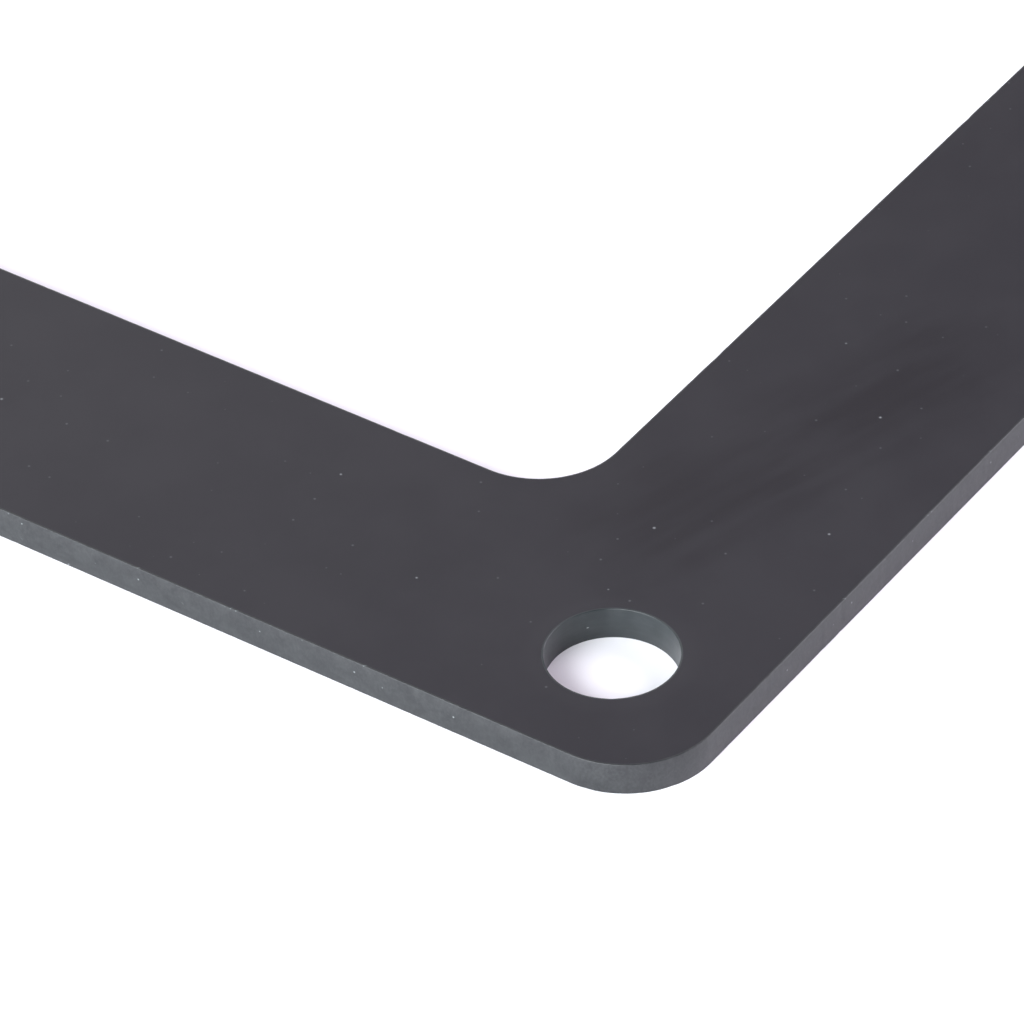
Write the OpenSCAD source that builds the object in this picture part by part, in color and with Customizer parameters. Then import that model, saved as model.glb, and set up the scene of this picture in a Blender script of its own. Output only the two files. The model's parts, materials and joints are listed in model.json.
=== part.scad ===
// Flat corner kick plate, cut in one piece from rigid sheet.
//
// In plan it is an L: two arms of one width meet at a rounded corner. One clearance hole goes
// through the corner, and one goes through each arm close to its end, so three bolts hold the
// plate flat against what it covers.
//
// Frame: the origin is on the corner hole's axis, at the back face. +X and +Y run along the
// two arms, and +Z points out of the front face.

/* [Arms] */
// Length of the arm along X, from the outer edge of the corner to the arm's end
arm_x_len = 150; // [100:1:400]
// Length of the arm along Y, from the outer edge of the corner to the arm's end
arm_y_len = 150; // [100:1:400]
// Width of each arm
arm_w = 26; // [21:0.5:60]
// Thickness of the sheet
sheet_t = 3; // [1.5:0.1:6]

/* [Rounded corners] */
// Radius of the outer corner, where the arms meet
outer_r = 8; // [1:0.5:14]
// Radius of the inner corner, where the arms meet
inner_r = 7.5; // [1:0.5:20]
// Radius of the two corners at each arm's end
end_r = 8; // [1:0.5:10]

/* [Holes] */
// Diameter of each hole: 11 clears an M10 bolt
hole_d = 11; // [4.5:0.1:14]
// Distance from a hole's centre to the outer edge of the arm that it is in
edge_inset = 12; // [9:0.5:14]
// Distance from an end hole's centre to the end of its arm
end_inset = 12; // [9:0.5:40]

/* [Hidden] */
// Outer and inner edge of each arm, measured from the corner hole's axis
outer_edge = -edge_inset;
inner_edge = outer_edge + arm_w;
// Centre of the hole near each arm's end
end_hole_x = outer_edge + arm_x_len - end_inset;
end_hole_y = outer_edge + arm_y_len - end_inset;
hole_centres = [[0, 0], [end_hole_x, 0], [0, end_hole_y]];
// An end corner is never rounder than half the arm's width
end_round = min(end_r, arm_w / 2);
// How far a cutter runs past the face that it goes through
overcut = 1;
arc_facets = 96;
sheet_colour = [0.18, 0.18, 0.2];

// The stretch between a square corner at the origin and an arc of radius r towards +X and +Y.
// It is cut off an outer corner, and it fills an inner one.
module corner_sliver(r) {
    difference() {
        translate([-overcut, -overcut]) square(r + overcut);
        translate([r, r]) circle(r = r, $fn = arc_facets);
    }
}

// One arm along +X, with its far end's corners rounded
module arm_outline(length) {
    difference() {
        translate([outer_edge, outer_edge]) square([length, arm_w]);
        translate([outer_edge + length, outer_edge]) mirror([1, 0]) corner_sliver(end_round);
        translate([outer_edge + length, inner_edge]) rotate(180) corner_sliver(end_round);
    }
}

// The plate's whole outline, without its holes
module plate_outline() {
    difference() {
        union() {
            arm_outline(arm_x_len);
            mirror([1, -1]) arm_outline(arm_y_len);
            translate([inner_edge, inner_edge]) corner_sliver(inner_r);
        }
        translate([outer_edge, outer_edge]) corner_sliver(outer_r);
    }
}

// Cutter for one clearance hole
module hole_cutter() {
    translate([0, 0, -overcut])
        cylinder(d = hole_d, h = sheet_t + 2 * overcut, $fn = arc_facets);
}

module kick_plate() {
    color(sheet_colour)
        difference() {
            linear_extrude(height = sheet_t) plate_outline();
            for (centre = hole_centres) translate(centre) hole_cutter();
        }
}

kick_plate();
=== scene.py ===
"""Flat corner kick plate: an L cut from rigid black sheet, with a bolt hole at its corner and
one near the end of each arm.

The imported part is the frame. The plate is remade here as one closed skin with softened,
slightly nicked arrises, and it is dressed with a satin face, a milled cut edge and drilled hole
walls. Lengths are in metres, unless a name ends in _mm. In the finishes, a name that ends in
_waves counts a pattern's waves in a millimetre, and one that ends in _tone or _rough is how much
the pattern adds to the colour's mix or to the roughness.
"""

import json
import logging
import math
from dataclasses import dataclass
from enum import Enum

import bpy
from mathutils import Matrix, Vector


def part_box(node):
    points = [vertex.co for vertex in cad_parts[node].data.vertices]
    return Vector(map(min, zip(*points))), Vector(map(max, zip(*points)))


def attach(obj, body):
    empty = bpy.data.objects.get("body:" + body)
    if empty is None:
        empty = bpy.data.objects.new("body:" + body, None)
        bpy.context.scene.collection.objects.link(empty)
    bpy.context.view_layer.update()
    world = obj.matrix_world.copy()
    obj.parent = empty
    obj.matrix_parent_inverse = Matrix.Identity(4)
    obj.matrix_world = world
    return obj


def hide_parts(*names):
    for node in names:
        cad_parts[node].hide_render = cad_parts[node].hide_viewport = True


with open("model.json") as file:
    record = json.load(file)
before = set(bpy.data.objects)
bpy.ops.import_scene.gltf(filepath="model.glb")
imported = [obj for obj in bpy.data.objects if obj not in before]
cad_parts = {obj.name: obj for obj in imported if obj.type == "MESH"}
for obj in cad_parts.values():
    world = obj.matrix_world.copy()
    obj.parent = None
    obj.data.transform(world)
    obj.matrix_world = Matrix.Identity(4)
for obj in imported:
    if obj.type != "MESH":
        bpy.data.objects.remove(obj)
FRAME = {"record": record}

Socket = bpy.types.NodeSocket
# X and Y of an upright axis.
Spot = tuple[float, float]
# Where a soft mask begins, and where it is full.
Band = tuple[float, float]
Triple = tuple[float, float, float]
Colour = tuple[float, float, float, float]

log = logging.getLogger("kick_plate")

MM = 0.001
WHITE = (1.0, 1.0, 1.0)
COOL = (0.95, 1.0, 1.02)
LILAC = (1.0, 0.93, 1.04)


class Finish(Enum):
    """Which finish a stretch of the plate's skin takes."""

    SHEET_FACE = "sheet_face"
    CUT_EDGE = "cut_edge"
    HOLE_WALL = "hole_wall"


class NodeGraph:
    """A node tree with short calls that add a node and join its sockets.

    Args:
        tree: the shader or geometry node tree to add to.
    """

    def __init__(self, tree: bpy.types.NodeTree) -> None:
        """Keeps the tree that the calls add to."""
        self.tree = tree

    def add(self, kind: str, inputs: dict | None = None, **settings: object) -> bpy.types.Node:
        """Adds one node.

        Args:
            kind: the node's type, such as "ShaderNodeMath".
            inputs: input name or index to a value, or to an output socket to link.
            settings: attributes of the node itself, such as operation.

        Returns:
            The new node.
        """
        node = self.tree.nodes.new(kind)
        for name, value in settings.items():
            setattr(node, name, value)
        for key, value in (inputs or {}).items():
            self.feed(node.inputs[key], value)
        return node

    def feed(self, socket: Socket, value: object) -> None:
        """Links an output socket to an input, or sets the input's own value.

        Args:
            socket: the input.
            value: the output socket to link, or the plain value to set.
        """
        if isinstance(value, Socket):
            self.tree.links.new(value, socket)
        else:
            socket.default_value = value

    def math(self, operation: str, *values: object, clamp: bool = False) -> Socket:
        """One step of arithmetic on sockets or numbers, and the socket of its result."""
        inputs = dict(enumerate(values))
        return self.add("ShaderNodeMath", inputs, operation=operation, use_clamp=clamp).outputs[0]

    def ramp(self, value: object, low: float, high: float, out_low: float = 0.0,
             out_high: float = 1.0) -> Socket:
        """Maps low..high smoothly onto out_low..out_high, held at both ends.

        Args:
            value: the socket to map.
            low: the value that gives out_low.
            high: the value that gives out_high.
            out_low: the result at and beyond low.
            out_high: the result at and beyond high.

        Returns:
            The socket of the mapped value.
        """
        inputs = {"Value": value, "From Min": low, "From Max": high,
                  "To Min": out_low, "To Max": out_high}
        node = self.add("ShaderNodeMapRange", inputs, interpolation_type="SMOOTHSTEP")
        return node.outputs["Result"]


@dataclass(frozen=True)
class Speckle:
    """Small soft specks: how far apart, how large, in what share of the cells and how strong."""

    cell_mm: float
    radius_mm: float
    share: float
    strength: float = 1.0


class Surface(NodeGraph):
    """A procedural material whose patterns sit on Object coordinates, in millimetres.

    Args:
        finish: the finish that the material is for, which names it.
    """

    def __init__(self, finish: Finish) -> None:
        """Makes the material with a Principled shader and its millimetre coordinates."""
        self.material = bpy.data.materials.new(finish.value)
        self.material.use_nodes = True
        super().__init__(self.material.node_tree)
        self.shader = self.tree.nodes["Principled BSDF"]
        place = self.add("ShaderNodeTexCoord").outputs["Object"]
        self.place_mm = self.grained(place, (MM, MM, MM))
        split = self.add("ShaderNodeSeparateXYZ", {"Vector": self.place_mm})
        self.x, self.y, self.z = split.outputs

    def grained(self, place: Socket, size: Triple, turn_deg: float = 0.0,
                middle: Triple = (0, 0, 0)) -> Socket:
        """A place counted in grains, which may be long, turned about Z and moved.

        Args:
            place: the coordinates to start from.
            size: length of one grain along its own X, Y and Z.
            turn_deg: turn of the grain about Z.
            middle: where the new coordinates are zero.

        Returns:
            The socket of the new coordinates.
        """
        inputs = {"Vector": place, "Scale": size, "Location": middle,
                  "Rotation": (0, 0, math.radians(turn_deg))}
        return self.add("ShaderNodeMapping", inputs, vector_type="TEXTURE").outputs["Vector"]

    def flat(self, across: Socket, up: Socket) -> Socket:
        """Two coordinates as a flat place, for a pattern on an upright wall."""
        return self.add("ShaderNodeCombineXYZ", {"X": across, "Y": up}).outputs[0]

    def noise(self, vector: object, scale: float, detail: float = 2.0,
              roughness: float = 0.5) -> Socket:
        """Cloudy noise from 0 to 1 at the given number of waves a millimetre."""
        inputs = {"Vector": vector, "Scale": scale, "Detail": detail, "Roughness": roughness}
        return self.add("ShaderNodeTexNoise", inputs).outputs["Fac"]

    def specks(self, vector: Socket, kind: Speckle) -> Socket:
        """Small soft specks, at most one to a cell, on the vector's X and Y.

        Args:
            vector: coordinates in millimetres.
            kind: the specks' spacing, size, share and strength.

        Returns:
            A mask, as high as the strength on a speck.
        """
        inputs = {"Vector": vector, "Scale": 1 / kind.cell_mm}
        cells = self.add("ShaderNodeTexVoronoi", inputs, voronoi_dimensions="2D")
        pick = self.add("ShaderNodeSeparateColor", {"Color": cells.outputs["Color"]}).outputs[0]
        radius = self.ramp(pick, 1 - kind.share, 1.0, 0.0, kind.radius_mm / kind.cell_mm)
        inside = self.math("SUBTRACT", radius, cells.outputs["Distance"])
        mask = self.math("MULTIPLY", inside, kind.cell_mm / kind.radius_mm, clamp=True)
        return self.math("MULTIPLY", mask, kind.strength)

    def summed(self, a: Socket, share_a: float, b: Socket, share_b: float) -> Socket:
        """Two masks added up, each by its share."""
        return self.math("MULTIPLY_ADD", a, share_a, self.math("MULTIPLY", b, share_b))

    def ring(self, centre_mm: Spot, radius_mm: float, width_mm: float) -> Socket:
        """A soft ring about an upright axis.

        Args:
            centre_mm: X and Y of the axis.
            radius_mm: radius at which the ring is strongest.
            width_mm: how far to either side it fades out.

        Returns:
            A mask, 1 on the radius and 0 a width away.
        """
        dx = self.math("SUBTRACT", self.x, centre_mm[0])
        dy = self.math("SUBTRACT", self.y, centre_mm[1])
        squares = self.math("ADD", self.math("MULTIPLY", dx, dx), self.math("MULTIPLY", dy, dy))
        off = self.math("SUBTRACT", self.math("SQRT", squares), radius_mm)
        return self.ramp(self.math("ABSOLUTE", off), width_mm, 0.0)

    def blend(self, amount: object, a: object, b: object) -> Socket:
        """A colour between two others.

        Args:
            amount: 0 for the first colour, 1 for the second.
            a: the first colour.
            b: the second colour.

        Returns:
            The socket of the colour.
        """
        node = self.add("ShaderNodeMix", {0: amount}, data_type="RGBA")
        self.feed(node.inputs["A"], a)
        self.feed(node.inputs["B"], b)
        return node.outputs["Result"]

    def relief(self, height: object, depth_mm: float) -> Socket:
        """The shading normal over a relief of this depth."""
        inputs = {"Height": height, "Distance": depth_mm * MM, "Strength": 1.0}
        return self.add("ShaderNodeBump", inputs).outputs["Normal"]

    def set(self, **inputs: object) -> None:
        """Sets the Principled shader's inputs, with _ for a space in a name."""
        for name, value in inputs.items():
            self.feed(self.shader.inputs[name.replace("_", " ")], value)


@dataclass(frozen=True)
class SheetFace:
    """The sheet's face: satin black and faintly clouded, with dust and one darker, smoother stroke.

    The stroke is a deeper, smoother black along an arm. It is at full
    strength over the shares solid_along and solid_across of its half-length and half-width, and
    its middle line strays by half of waver half-widths to either side.
    """

    holes_mm: tuple[Spot, ...]
    hole_r_mm: float
    base: Colour = (0.0102, 0.0090, 0.0130, 1)
    # The lighter black: the clouds' own uneven tone, and the painted sheen ring round each hole.
    worn: Colour = (0.0158, 0.0145, 0.0185, 1)
    # The darker black of the stroke along an arm.
    clean: Colour = (0.0065, 0.0050, 0.0085, 1)
    dust: Colour = (0.19, 0.20, 0.21, 1)
    roughness: float = 0.50
    ior: float = 1.42
    cloud_waves: float = 0.11
    cloud_band: Band = (0.32, 0.68)
    cloud_tone: float = 0.5
    cloud_rough: float = 0.02
    grain_waves: float = 9.0
    grain_depth_mm: float = 0.0012
    lint: Speckle = Speckle(cell_mm=7.5, radius_mm=0.17, share=0.35)
    fine_dust: Speckle = Speckle(cell_mm=3.1, radius_mm=0.14, share=0.5, strength=0.32)
    # The painted sheen ring round each hole: how far out it peaks, how wide it fades and how much
    # it lightens.
    rub_out_mm: float = 0.6
    rub_width_mm: float = 1.6
    rub_tone: float = 0.35
    stroke_mm: Triple = (27.0, 9.0, 1.0)
    stroke_middle_mm: Triple = (31.0, 1.5, 0.0)
    stroke_turn_deg: float = -17.0
    stroke_rough: float = -0.05
    solid_across: float = 0.15
    solid_along: float = 0.55
    waver: float = 0.8
    waver_waves: float = 0.13
    strand_mm: Triple = (11.0, 1.8, 1.0)
    strand_band: Band = (0.3, 0.7)
    strand_least: float = 0.3

    def build(self) -> bpy.types.Material:
        """Builds the material.

        Returns:
            The satin face's material.
        """
        s = Surface(Finish.SHEET_FACE)
        clouds = s.noise(s.place_mm, self.cloud_waves, detail=4, roughness=0.6)
        clouds = s.ramp(clouds, *self.cloud_band)
        wiped = self.wiped(s)
        # The clouds are the face's own uneven tone; the ring round each hole is painted sheen.
        tone = s.summed(clouds, self.cloud_tone, self.rubbed(s), self.rub_tone)
        specks = s.math("MAXIMUM", s.specks(s.place_mm, self.lint),
                        s.specks(s.place_mm, self.fine_dust))
        rough = s.math("MULTIPLY_ADD", clouds, self.cloud_rough, self.roughness)
        rough = s.math("MULTIPLY_ADD", wiped, self.stroke_rough, rough)
        black = s.blend(wiped, s.blend(tone, self.base, self.worn), self.clean)
        grain = s.noise(s.place_mm, self.grain_waves)
        s.set(Base_Color=s.blend(specks, black, self.dust), Roughness=rough, IOR=self.ior,
              Normal=s.relief(grain, self.grain_depth_mm))
        return s.material

    def rubbed(self, s: Surface) -> Socket:
        """Painted sheen: a lighter ring round each hole, for the light that the sheet's slight
        slope towards the hole catches.

        Args:
            s: the surface that is being built.

        Returns:
            A mask, strongest just outside a hole's rim.
        """
        mask = 0.0
        for centre in self.holes_mm:
            ring = s.ring(centre, self.hole_r_mm + self.rub_out_mm, self.rub_width_mm)
            mask = s.math("MAXIMUM", mask, ring)
        return mask

    def wiped(self, s: Surface) -> Socket:
        """One darker, smoother stroke along an arm, broken into strands.

        Args:
            s: the surface that is being built.

        Returns:
            A mask, 1 in the middle of the stroke.
        """
        stroke = s.grained(s.place_mm, self.stroke_mm, self.stroke_turn_deg, self.stroke_middle_mm)
        along, across, _ = s.add("ShaderNodeSeparateXYZ", {"Vector": stroke}).outputs
        waver = s.math("MULTIPLY_ADD", s.noise(s.place_mm, self.waver_waves), self.waver,
                       -self.waver / 2)
        off = s.math("ABSOLUTE", s.math("ADD", across, waver))
        body = s.math("MULTIPLY", s.ramp(off, 1.0, self.solid_across),
                      s.ramp(s.math("ABSOLUTE", along), 1.0, self.solid_along))
        strands = s.noise(s.grained(s.place_mm, self.strand_mm, self.stroke_turn_deg), 1.0)
        strands = s.ramp(strands, *self.strand_band, out_low=self.strand_least)
        return s.math("MULTIPLY", body, strands)


@dataclass(frozen=True)
class CutEdge:
    """The milled edge: a shade lighter than the face, finely mottled, with chipped arrises."""

    top_mm: float
    base: Colour = (0.010, 0.011, 0.013, 1)
    scraped: Colour = (0.031, 0.033, 0.035, 1)
    dust: Colour = (0.34, 0.37, 0.38, 1)
    roughness: float = 0.41
    ior: float = 1.5
    mark_mm: Triple = (0.22, 0.22, 0.3)
    mark_band: Band = (0.35, 0.7)
    mark_tone: float = 0.45
    mark_depth_mm: float = 0.002
    mottle_waves: float = 0.8
    mottle_band: Band = (0.32, 0.68)
    mottle_tone: float = 0.35
    mottle_rough: float = 0.08
    specks: Speckle = Speckle(cell_mm=2.4, radius_mm=0.11, share=0.4, strength=0.7)
    lint: Speckle = Speckle(cell_mm=2.2, radius_mm=0.14, share=0.3, strength=0.5)
    lint_grain: Triple = (3.0, 0.8, 1.0)
    lint_turn_deg: float = 35.0
    chips: Speckle = Speckle(cell_mm=0.55, radius_mm=0.10, share=0.22)
    chip_band_mm: Band = (0.30, 0.05)
    chip_strength: float = 0.35

    def build(self) -> bpy.types.Material:
        """Builds the material.

        Returns:
            The cut edge's material.
        """
        s = Surface(Finish.CUT_EDGE)
        marks = s.noise(s.grained(s.place_mm, self.mark_mm), 1.0, detail=3, roughness=0.6)
        mottle = s.noise(s.place_mm, self.mottle_waves, detail=4, roughness=0.65)
        mottle = s.ramp(mottle, *self.mottle_band)
        tone = s.summed(s.ramp(marks, *self.mark_band), self.mark_tone, mottle, self.mottle_tone)
        s.set(Base_Color=s.blend(self.dirt(s), s.blend(tone, self.base, self.scraped), self.dust),
              Roughness=s.math("MULTIPLY_ADD", mottle, self.mottle_rough, self.roughness),
              IOR=self.ior, Normal=s.relief(marks, self.mark_depth_mm))
        return s.material

    def dirt(self, s: Surface) -> Socket:
        """Specks and slanted shreds of lint on the wall, and pale chips under its top arris.

        Args:
            s: the surface that is being built.

        Returns:
            A mask, highest on the largest specks.
        """
        strip = s.flat(s.math("ADD", s.x, s.y), s.z)
        slanted = s.grained(strip, self.lint_grain, self.lint_turn_deg)
        deep, shallow = self.chip_band_mm
        near_top = s.ramp(s.z, self.top_mm - deep, self.top_mm - shallow, 0.0, self.chip_strength)
        chips = s.math("MULTIPLY", s.specks(strip, self.chips), near_top)
        loose = s.math("MAXIMUM", s.specks(strip, self.specks), s.specks(slanted, self.lint))
        return s.math("MAXIMUM", loose, chips)


@dataclass(frozen=True)
class HoleWall:
    """The drilled wall of a hole: dark, with faint rings left by the drill's lips."""

    base: Colour = (0.015, 0.019, 0.021, 1)
    scraped: Colour = (0.037, 0.042, 0.046, 1)
    dust: Colour = (0.75, 0.78, 0.78, 1)
    roughness: float = 0.35
    ior: float = 1.5
    ring_mm: Triple = (6.0, 6.0, 0.35)
    ring_band: Band = (0.4, 0.7)
    ring_tone: float = 0.25
    ring_depth_mm: float = 0.002
    mottle_waves: float = 0.7
    mottle_band: Band = (0.3, 0.7)
    mottle_tone: float = 0.35
    mottle_rough: float = 0.06
    specks: Speckle = Speckle(cell_mm=2.2, radius_mm=0.12, share=0.3)
    speck_squash: float = 0.6

    def build(self) -> bpy.types.Material:
        """Builds the material.

        Returns:
            The hole wall's material.
        """
        s = Surface(Finish.HOLE_WALL)
        rings = s.noise(s.grained(s.place_mm, self.ring_mm), 1.0, detail=3, roughness=0.6)
        mottle = s.ramp(s.noise(s.place_mm, self.mottle_waves, detail=3), *self.mottle_band)
        tone = s.summed(s.ramp(rings, *self.ring_band), self.ring_tone, mottle, self.mottle_tone)
        specks = s.specks(s.flat(s.math("MULTIPLY", s.x, self.speck_squash), s.z), self.specks)
        s.set(Base_Color=s.blend(specks, s.blend(tone, self.base, self.scraped), self.dust),
              Roughness=s.math("MULTIPLY_ADD", mottle, self.mottle_rough, self.roughness),
              IOR=self.ior, Normal=s.relief(rings, self.ring_depth_mm))
        return s.material


class PlateTree(NodeGraph):
    """The Geometry Nodes tree that turns the plate's corners and hole centres into its skin.

    The input mesh holds the outline's corners, joined by edges, and one loose vertex for each
    hole. Each corner carries its radius in the attribute corner_r, and each loose vertex is
    marked in the attribute hole. The skin is made about the sheet's middle plane and then lifted.

    Args:
        materials: the material for each finish.
    """

    SIZES = ("Thickness", "Hole radius", "Arris radius", "Border", "Step", "Nick depth",
             "Nicks per metre", "Seed")
    ARC_POINTS = 40
    ARRIS_POINTS = 3
    WELD = 1e-6
    ARRIS_REACH = 1.01
    NICK_FROM, NICK_FULL = 0.60, 0.72
    RAGGED_FROM, RAGGED_FULL = 0.45, 0.75
    RAGGED_FINER = 3.0
    RAGGED_DEPTH = 0.22

    def __init__(self, materials: dict[Finish, bpy.types.Material]) -> None:
        """Builds the tree and notes the identifier of each named size."""
        super().__init__(bpy.data.node_groups.new("plate_skin", "GeometryNodeTree"))
        self.materials = materials
        face = self.tree.interface
        face.new_socket("Geometry", in_out="INPUT", socket_type="NodeSocketGeometry")
        self.identifiers = {
            name: face.new_socket(name, in_out="INPUT", socket_type="NodeSocketFloat").identifier
            for name in self.SIZES}
        face.new_socket("Geometry", in_out="OUTPUT", socket_type="NodeSocketGeometry")
        self.given = self.add("NodeGroupInput").outputs
        self.inset = self.math("ADD", self.given["Arris radius"], self.given["Border"])
        self.half = self.math("MULTIPLY", self.given["Thickness"], 0.5)
        self.add("NodeGroupOutput", {"Geometry": self.skin()})

    def skin(self) -> Socket:
        """Joins the walls and the faces into one closed skin, and dresses it.

        Returns:
            The geometry socket of the finished plate.
        """
        holes_apart = self.add("GeometryNodeSeparateGeometry",
                               {"Geometry": self.given["Geometry"],
                                "Selection": self.named("hole", "BOOLEAN")}, domain="POINT")
        rim = self.outline(holes_apart.outputs["Inverted"])
        holes = self.hole_rims(holes_apart.outputs["Selection"])
        profile, on_arris = self.profile()
        edge, on_edge = self.marked(self.swept(rim, profile))
        bore, on_bore = self.marked(self.swept(holes, profile))
        solid = self.joined(self.faces(rim, holes), edge, bore)
        solid = self.add("GeometryNodeMergeByDistance",
                         {"Geometry": solid, "Distance": self.WELD}).outputs[0]
        on_wall = self.add("FunctionNodeBooleanMath", {0: on_edge, 1: on_bore}, operation="OR")
        solid = self.add("GeometryNodeSetShadeSmooth",
                         {0: solid, "Shade Smooth": on_wall.outputs[0]}).outputs[0]
        solid = self.nicked(solid, on_arris)
        solid = self.moved(solid, self.upward(self.half))
        solid = self.add("GeometryNodeRealizeInstances", {0: solid}).outputs[0]
        for finish, where in ((Finish.SHEET_FACE, True), (Finish.CUT_EDGE, on_edge),
                              (Finish.HOLE_WALL, on_bore)):
            solid = self.add("GeometryNodeSetMaterial",
                             {"Geometry": solid, "Selection": where,
                              "Material": self.materials[finish]}).outputs[0]
        return solid

    def outline(self, corners: Socket) -> Socket:
        """The rounded outline, as a curve with a point at each step.

        Args:
            corners: the outline's corner vertices and edges.

        Returns:
            The curve's socket.
        """
        curve = self.add("GeometryNodeMeshToCurve", {"Mesh": corners}).outputs[0]
        curve = self.add("GeometryNodeFilletCurve",
                         {"Curve": curve, "Count": self.ARC_POINTS, "Limit Radius": True,
                          "Radius": self.named("corner_r", "FLOAT")}, mode="POLY").outputs[0]
        curve = self.add("GeometryNodeResampleCurve",
                         {"Curve": curve, "Length": self.given["Step"]}, mode="LENGTH").outputs[0]
        return self.upright(curve)

    def hole_rims(self, centres: Socket) -> Socket:
        """A circle round each hole's centre, run the other way from the outline.

        Args:
            centres: one loose vertex for each hole.

        Returns:
            The socket of all the circles.
        """
        radius = self.given["Hole radius"]
        turns = self.math("DIVIDE", self.math("MULTIPLY", radius, math.tau), self.given["Step"])
        circle = self.add("GeometryNodeCurvePrimitiveCircle",
                          {"Resolution": turns, "Radius": radius}, mode="RADIUS").outputs[0]
        rims = self.add("GeometryNodeInstanceOnPoints", {"Points": centres, "Instance": circle})
        rims = self.add("GeometryNodeRealizeInstances", {0: rims.outputs[0]}).outputs[0]
        return self.upright(self.add("GeometryNodeReverseCurve", {"Curve": rims}).outputs[0])

    def profile(self) -> tuple[Socket, Socket]:
        """The wall's section: a short border on each face, two round arrises and the wall.

        Returns:
            The section's curve and a socket that is 1 on its arrises.
        """
        line = self.add("GeometryNodeMeshLine", {"Count": 4}, mode="OFFSET").outputs[0]
        index = self.add("GeometryNodeInputIndex").outputs[0]
        inner = self.math("MULTIPLY", self.inset, -1.0)
        low = self.math("MULTIPLY", self.half, -1.0)
        across = self.chosen(index, inner, 0.0, 0.0, inner)
        height = self.chosen(index, low, low, self.half, self.half)
        place = self.add("ShaderNodeCombineXYZ", {"X": across, "Y": height}).outputs[0]
        line = self.add("GeometryNodeSetPosition", {"Geometry": line, "Position": place}).outputs[0]
        curve = self.add("GeometryNodeMeshToCurve", {"Mesh": line}).outputs[0]
        arris = self.given["Arris radius"]
        radius = self.chosen(index, 0.0, arris, arris, 0.0)
        curve = self.add("GeometryNodeFilletCurve",
                         {"Curve": curve, "Count": self.ARRIS_POINTS, "Radius": radius},
                         mode="POLY").outputs[0]
        here = self.add("ShaderNodeSeparateXYZ",
                        {0: self.add("GeometryNodeInputPosition").outputs[0]}).outputs
        mid_border = self.math("MULTIPLY_ADD", self.given["Border"], 0.5, inner)
        outer = self.math("GREATER_THAN", here["X"], mid_border)
        rise = self.math("SUBTRACT", self.math("ABSOLUTE", here["Y"]), self.half)
        near = self.math("GREATER_THAN", rise, self.math("MULTIPLY", arris, -self.ARRIS_REACH))
        return self.marked(curve, self.math("MULTIPLY", outer, near), "FLOAT", "POINT")

    def faces(self, rim: Socket, holes: Socket) -> Socket:
        """The flat front and back, out to where the walls' borders begin.

        Args:
            rim: the outline's curve.
            holes: the holes' circles.

        Returns:
            The socket of both faces.
        """
        border = self.moved(self.joined(rim, holes), self.inward(self.inset))
        sheet = self.add("GeometryNodeFillCurve", {"Curve": border}, mode="TRIANGLES").outputs[0]
        front = self.moved(sheet, self.upward(self.half))
        back = self.moved(sheet, self.upward(self.math("MULTIPLY", self.half, -1.0)))
        return self.joined(front, self.add("GeometryNodeFlipFaces", {"Mesh": back}).outputs[0])

    def nicked(self, solid: Socket, on_arris: Socket) -> Socket:
        """Presses small nicks and a slight raggedness into the arrises.

        Args:
            solid: the closed skin.
            on_arris: 1 on the arrises' vertices.

        Returns:
            The worn skin's socket.
        """
        nicks = self.math("MULTIPLY", self.cloud(1.0), on_arris)
        nicks = self.ramp(nicks, self.NICK_FROM, self.NICK_FULL)
        ragged = self.math("MULTIPLY", self.cloud(self.RAGGED_FINER), on_arris)
        ragged = self.ramp(ragged, self.RAGGED_FROM, self.RAGGED_FULL)
        depth = self.math("MULTIPLY_ADD", ragged, self.RAGGED_DEPTH, nicks)
        depth = self.math("MULTIPLY", depth, self.given["Nick depth"])
        return self.moved(solid, self.inward(depth))

    def cloud(self, finer: float) -> Socket:
        """Seeded noise over the skin, finer than the nicks' own by this factor."""
        scale = self.math("MULTIPLY", self.given["Nicks per metre"], finer)
        return self.add("ShaderNodeTexNoise",
                        {"Vector": self.add("GeometryNodeInputPosition").outputs[0],
                         "W": self.given["Seed"], "Scale": scale, "Detail": 2.0},
                        noise_dimensions="4D").outputs["Fac"]

    def named(self, name: str, kind: str) -> Socket:
        """The value of a named attribute."""
        return self.add("GeometryNodeInputNamedAttribute", {"Name": name},
                        data_type=kind).outputs["Attribute"]

    def upright(self, curve: Socket) -> Socket:
        """The same curve with its normals level, pointing out of the material."""
        return self.add("GeometryNodeSetCurveNormal", {"Curve": curve}, mode="Z_UP").outputs[0]

    def swept(self, curve: Socket, profile: Socket) -> Socket:
        """The wall that the profile sweeps along a curve."""
        return self.add("GeometryNodeCurveToMesh",
                        {"Curve": curve, "Profile Curve": profile}).outputs[0]

    def marked(self, geometry: Socket, value: object = True, kind: str = "BOOLEAN",
               domain: str = "FACE") -> tuple[Socket, Socket]:
        """Marks a geometry, so that it can be told apart after it is joined.

        Args:
            geometry: what to mark.
            value: the mark's value there. It is 0 or False everywhere else.
            kind: the mark's data type.
            domain: what carries the mark.

        Returns:
            The marked geometry and the mark.
        """
        node = self.add("GeometryNodeCaptureAttribute", {"Geometry": geometry}, domain=domain)
        node.capture_items.new(kind, "mark")
        self.feed(node.inputs["mark"], value)
        return node.outputs["Geometry"], node.outputs["mark"]

    def chosen(self, index: Socket, *values: object) -> Socket:
        """The value that stands at the point's own index.

        Args:
            index: the point's index.
            values: the value for each index, from 0 up.

        Returns:
            The socket of the chosen value.
        """
        node = self.add("GeometryNodeIndexSwitch", {"Index": index}, data_type="FLOAT")
        while len(node.index_switch_items) < len(values):
            node.index_switch_items.new()
        for place, value in enumerate(values):
            self.feed(node.inputs[str(place)], value)
        return node.outputs[0]

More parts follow.
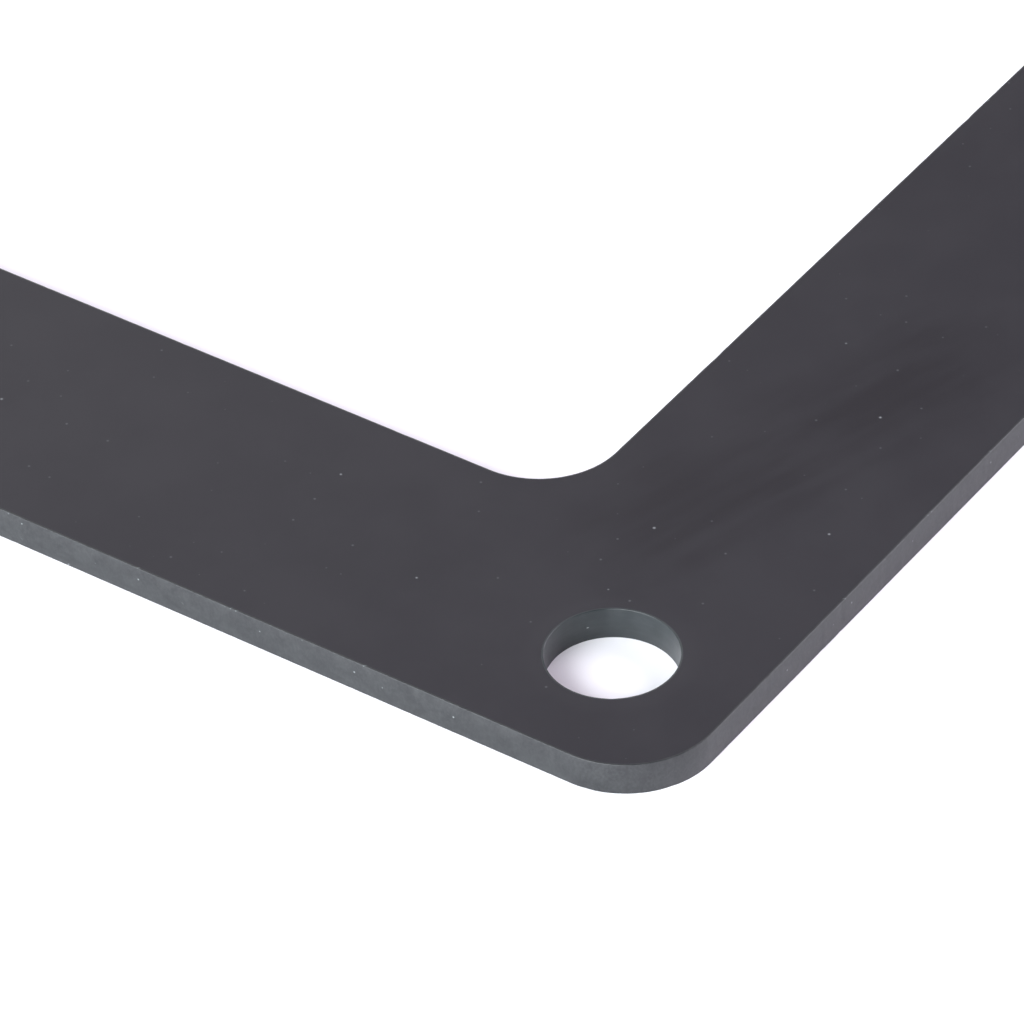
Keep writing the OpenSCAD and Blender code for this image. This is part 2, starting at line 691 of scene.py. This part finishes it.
    def joined(self, *parts: Socket) -> Socket:
        """Several geometries as one.

        Args:
            parts: the geometries.

        Returns:
            The socket of the joined geometry.
        """
        node = self.add("GeometryNodeJoinGeometry")
        for part in parts:
            self.feed(node.inputs[0], part)
        return node.outputs[0]

    def upward(self, height: object) -> Socket:
        """A vector of this height along Z."""
        return self.add("ShaderNodeCombineXYZ", {"Z": height}).outputs[0]

    def inward(self, depth: Socket) -> Socket:
        """A vector of this length into the material, against the normal."""
        inputs = {0: self.add("GeometryNodeInputNormal").outputs[0],
                  "Scale": self.math("MULTIPLY", depth, -1.0)}
        return self.add("ShaderNodeVectorMath", inputs, operation="SCALE").outputs[0]

    def moved(self, geometry: Socket, offset: object) -> Socket:
        """The geometry, each point moved by the offset there."""
        return self.add("GeometryNodeSetPosition",
                        {"Geometry": geometry, "Offset": offset}).outputs[0]


@dataclass
class KickPlate:
    """The plate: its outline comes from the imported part, and its small sizes are fields."""

    node: str = "kick_plate"
    slot: str = "sheet"
    arm_w: float = 26 * MM
    outer_r: float = 8 * MM
    inner_r: float = 7.5 * MM
    end_r: float = 8 * MM
    arris_r: float = 0.05 * MM
    border: float = 0.12 * MM
    step: float = 0.2 * MM
    nick_depth: float = 0.03 * MM
    nicks_per_metre: float = 420.0
    seed: float = 4.0

    def __post_init__(self) -> None:
        """Reads the outline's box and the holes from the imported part, and makes the finishes."""
        self.low, self.high = (Vector(corner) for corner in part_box(self.node))
        bores = [m for m in FRAME["record"]["mounts"] if m["kind"] == "bore"]
        self.holes = [Vector(bore["pos_m"]) for bore in bores]
        self.hole_r = bores[0]["dims"]["r_mm"] * MM
        centres = tuple((h.x / MM, h.y / MM) for h in self.holes)
        self.finishes = {Finish.SHEET_FACE: SheetFace(centres, self.hole_r / MM).build(),
                         Finish.CUT_EDGE: CutEdge(self.high.z / MM).build(),
                         Finish.HOLE_WALL: HoleWall().build()}

    def corners(self) -> list[Triple]:
        """The outline's corners, counter-clockwise.

        Returns:
            X, Y and the rounding radius of each corner.
        """
        x0, y0, x1, y1 = self.low.x, self.low.y, self.high.x, self.high.y
        return [(x0, y0, self.outer_r), (x1, y0, self.end_r), (x1, y0 + self.arm_w, self.end_r),
                (x0 + self.arm_w, y0 + self.arm_w, self.inner_r),
                (x0 + self.arm_w, y1, self.end_r), (x0, y1, self.end_r)]

    def seed_mesh(self) -> bpy.types.Mesh:
        """The mesh that the tree starts from: joined corners, and a loose vertex for each hole.

        Returns:
            The mesh, with its attributes corner_r and hole.
        """
        corners = self.corners()
        points = [(x, y, 0.0) for x, y, _ in corners] + [(h.x, h.y, 0.0) for h in self.holes]
        edges = [(i, (i + 1) % len(corners)) for i in range(len(corners))]
        mesh = bpy.data.meshes.new("plate_seed")
        mesh.from_pydata(points, edges, [])
        radii = [r for _, _, r in corners] + [0.0] * len(self.holes)
        mesh.attributes.new("corner_r", "FLOAT", "POINT").data.foreach_set("value", radii)
        marks = [False] * len(corners) + [True] * len(self.holes)
        mesh.attributes.new("hole", "BOOLEAN", "POINT").data.foreach_set("value", marks)
        return mesh

    def build(self) -> bpy.types.Object:
        """Grows the skin from the seed mesh and turns it into a plain mesh.

        Returns:
            The finished plate.
        """
        tree = PlateTree(self.finishes)
        rough = bpy.data.objects.new("plate_seed", self.seed_mesh())
        bpy.context.scene.collection.objects.link(rough)
        modifier = rough.modifiers.new("plate_skin", "NODES")
        modifier.node_group = tree.tree
        sizes = {"Thickness": self.high.z - self.low.z, "Hole radius": self.hole_r,
                 "Arris radius": self.arris_r, "Border": self.border, "Step": self.step,
                 "Nick depth": self.nick_depth, "Nicks per metre": self.nicks_per_metre,
                 "Seed": self.seed}
        for name, value in sizes.items():
            modifier[tree.identifiers[name]] = value
        grown = rough.evaluated_get(bpy.context.evaluated_depsgraph_get())
        mesh = bpy.data.meshes.new_from_object(grown)
        bpy.data.objects.remove(rough)
        mesh.name = "plate"
        # The seed mesh's empty first slot is left in front of the three finishes.
        mesh.materials.pop(index=0)
        piece = bpy.data.objects.new("plate", mesh)
        bpy.context.scene.collection.objects.link(piece)
        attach(piece, "root")
        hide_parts(self.node)
        return piece


@dataclass(frozen=True)
class Lamp:
    """A square soft light that looks at the plate's corner."""

    name: str
    turn_deg: float
    power: float
    colour: Triple
    rise_deg: float = 25.0
    side: float = 0.9
    away: float = 1.0

    def build(self) -> bpy.types.Object:
        """Places the light on a sphere about the corner and aims it there.

        Returns:
            The light.
        """
        light = bpy.data.lights.new(self.name, "AREA")
        light.shape, light.size = "SQUARE", self.side
        light.energy, light.color = self.power, self.colour
        turn, rise = math.radians(self.turn_deg), math.radians(self.rise_deg)
        out = Vector((math.cos(turn) * math.cos(rise), math.sin(turn) * math.cos(rise),
                      math.sin(rise)))
        lamp = bpy.data.objects.new(self.name, light)
        lamp.matrix_world = (Matrix.Translation(out * self.away)
                             @ out.to_track_quat("Z", "Y").to_matrix().to_4x4())
        bpy.context.scene.collection.objects.link(lamp)
        return lamp


@dataclass(frozen=True)
class Studio:
    """The pale floor, the soft lights and the camera."""

    lamps: tuple[Lamp, ...] = (Lamp("left", 180, 30.4, COOL), Lamp("left_back", 150, 9.2, COOL),
                               Lamp("right", 330, 18.0, LILAC), Lamp("far", 60, 4.3, WHITE))
    floor_side: float = 6.0
    floor_gap: float = 0.02 * MM
    floor_tone: Colour = (0.87, 0.85, 0.89, 1)
    floor_roughness: float = 0.9
    floor_specular: float = 0.2
    aim: Triple = (10.41 * MM, 16.81 * MM, 3 * MM)
    distance: float = 568.5 * MM
    heading_deg: float = 35.483
    drop_deg: float = 39.188
    roll_deg: float = -1.754
    lens_mm: float = 244.18
    sensor_mm: float = 36.0
    nearest: float = 0.01
    farthest: float = 20.0

    def build(self) -> None:
        """Builds the floor, the lamps, the dark room round them and the camera."""
        self.floor()
        self.dark_room()
        for lamp in self.lamps:
            lamp.build()
        self.camera()
        bpy.context.scene.view_settings.view_transform = "Standard"

    def floor(self) -> None:
        """Lays a pale floor just under the plate."""
        half = self.floor_side / 2
        mesh = bpy.data.meshes.new("floor")
        mesh.from_pydata([(-half, -half, -self.floor_gap), (half, -half, -self.floor_gap),
                          (half, half, -self.floor_gap), (-half, half, -self.floor_gap)],
                         [], [(0, 1, 2, 3)])
        floor = bpy.data.objects.new("floor", mesh)
        bpy.context.scene.collection.objects.link(floor)
        paper = bpy.data.materials.new("floor_paper")
        paper.use_nodes = True
        shader = paper.node_tree.nodes["Principled BSDF"]
        shader.inputs["Base Color"].default_value = self.floor_tone
        shader.inputs["Roughness"].default_value = self.floor_roughness
        shader.inputs["Specular IOR Level"].default_value = self.floor_specular
        mesh.materials.append(paper)

    def dark_room(self) -> None:
        """Keeps the room dark, so that the satin mirrors only the lamps."""
        world = bpy.data.worlds.new("room")
        world.use_nodes = True
        world.node_tree.nodes["Background"].inputs["Strength"].default_value = 0.0
        bpy.context.scene.world = world

    def camera(self) -> None:
        """Places the camera on its line of sight and makes it the scene's own."""
        turn, drop = math.radians(self.heading_deg), math.radians(self.drop_deg)
        sight = Vector((math.cos(turn) * math.cos(drop), math.sin(turn) * math.cos(drop),
                        -math.sin(drop)))
        level = sight.to_track_quat("-Z", "Y").to_matrix()
        roll = Matrix.Rotation(math.radians(self.roll_deg), 3, "Z")
        data = bpy.data.cameras.new("camera")
        data.lens, data.sensor_width = self.lens_mm, self.sensor_mm
        data.clip_start, data.clip_end = self.nearest, self.farthest
        camera = bpy.data.objects.new("camera", data)
        camera.matrix_world = (Matrix.Translation(Vector(self.aim) - sight * self.distance)
                               @ (level @ roll).to_4x4())
        bpy.context.scene.collection.objects.link(camera)
        bpy.context.scene.camera = camera


def main() -> None:
    """Builds the plate and the studio, and logs the plate's number of faces."""
    logging.basicConfig(level=logging.INFO, format="%(message)s")
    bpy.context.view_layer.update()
    plate = KickPlate().build()
    log.info("%s: %d faces", plate.name, len(plate.data.polygons))
    Studio().build()


if __name__ == "__main__":
    main()
